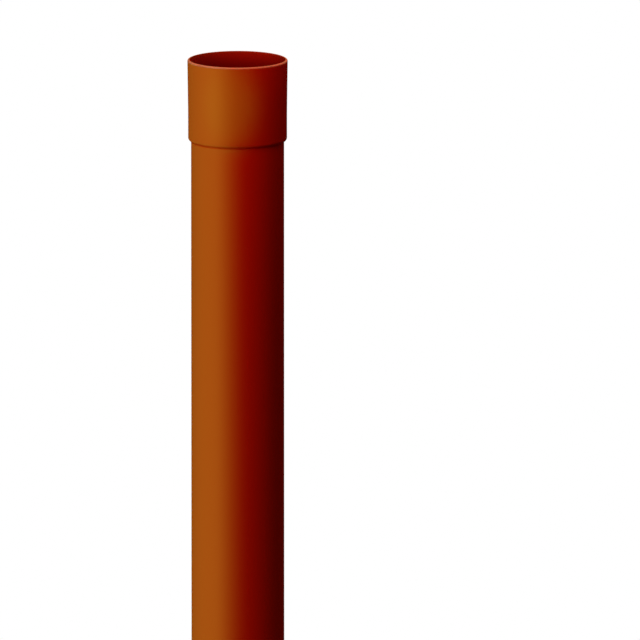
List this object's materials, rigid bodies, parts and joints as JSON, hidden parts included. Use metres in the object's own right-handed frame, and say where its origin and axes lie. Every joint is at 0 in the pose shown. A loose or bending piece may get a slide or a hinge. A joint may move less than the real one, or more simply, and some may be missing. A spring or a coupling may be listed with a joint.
{
  "type": "pvc downpipe",
  "caption": "Round brown PVC rainwater downpipe, cut square at its lower end, with a ring-less socket formed on its upper end to take the next pipe.",
  "frame": {"origin": "centre of the plain lower end, in the plane of its cut", "axes": "+Z along the pipe's axis, from the plain end up to the socket; X and Y are any two square directions across the pipe"},
  "size_m": [0.0862, 0.086, 1],
  "materials": {
    "brown_pvc": "satin"
  },
  "bodies": {
    "root": {"downpipe": "brown_pvc"}
  },
  "joints": []
}
